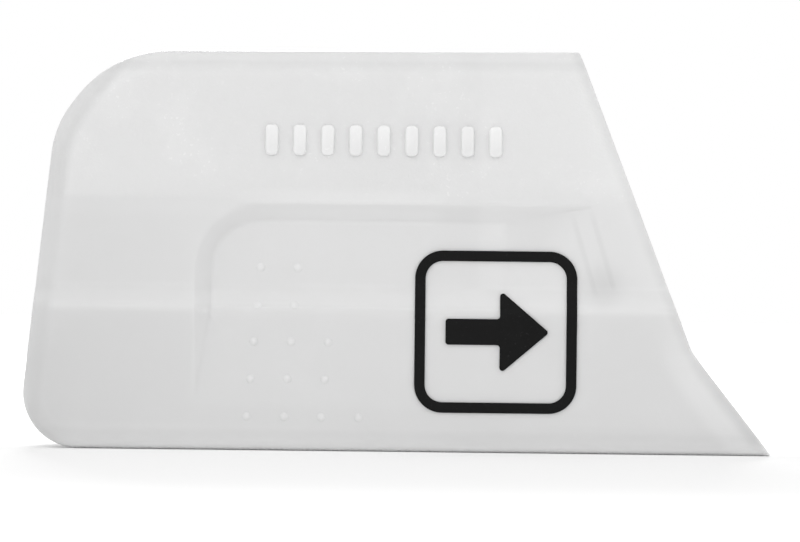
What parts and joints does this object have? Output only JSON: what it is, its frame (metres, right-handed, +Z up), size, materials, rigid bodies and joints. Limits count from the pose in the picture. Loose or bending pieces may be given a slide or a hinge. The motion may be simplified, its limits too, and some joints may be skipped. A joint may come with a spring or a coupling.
{
  "type": "knife blade cap",
  "caption": "Slide-on cap of milky plastic over a trade knife's hooked blade: half shells joined on the middle plane, rounded closed end, slanted mouth and finger panels.",
  "frame": {"origin": "under the middle of the cap's length, on the flat bottom edge that it stands on, in the middle plane where the two shells meet", "axes": "+X along the cap from the closed end to the mouth, +Y from the front shell to the back shell, +Z up"},
  "size_m": [0.075, 0.0208, 0.0403],
  "materials": {
    "cap_plastic": "satin, milky and slightly see-through, fine moulded texture"
  },
  "bodies": {
    "root": {"front_shell": "cap_plastic", "back_shell": "cap_plastic"}
  },
  "joints": []
}
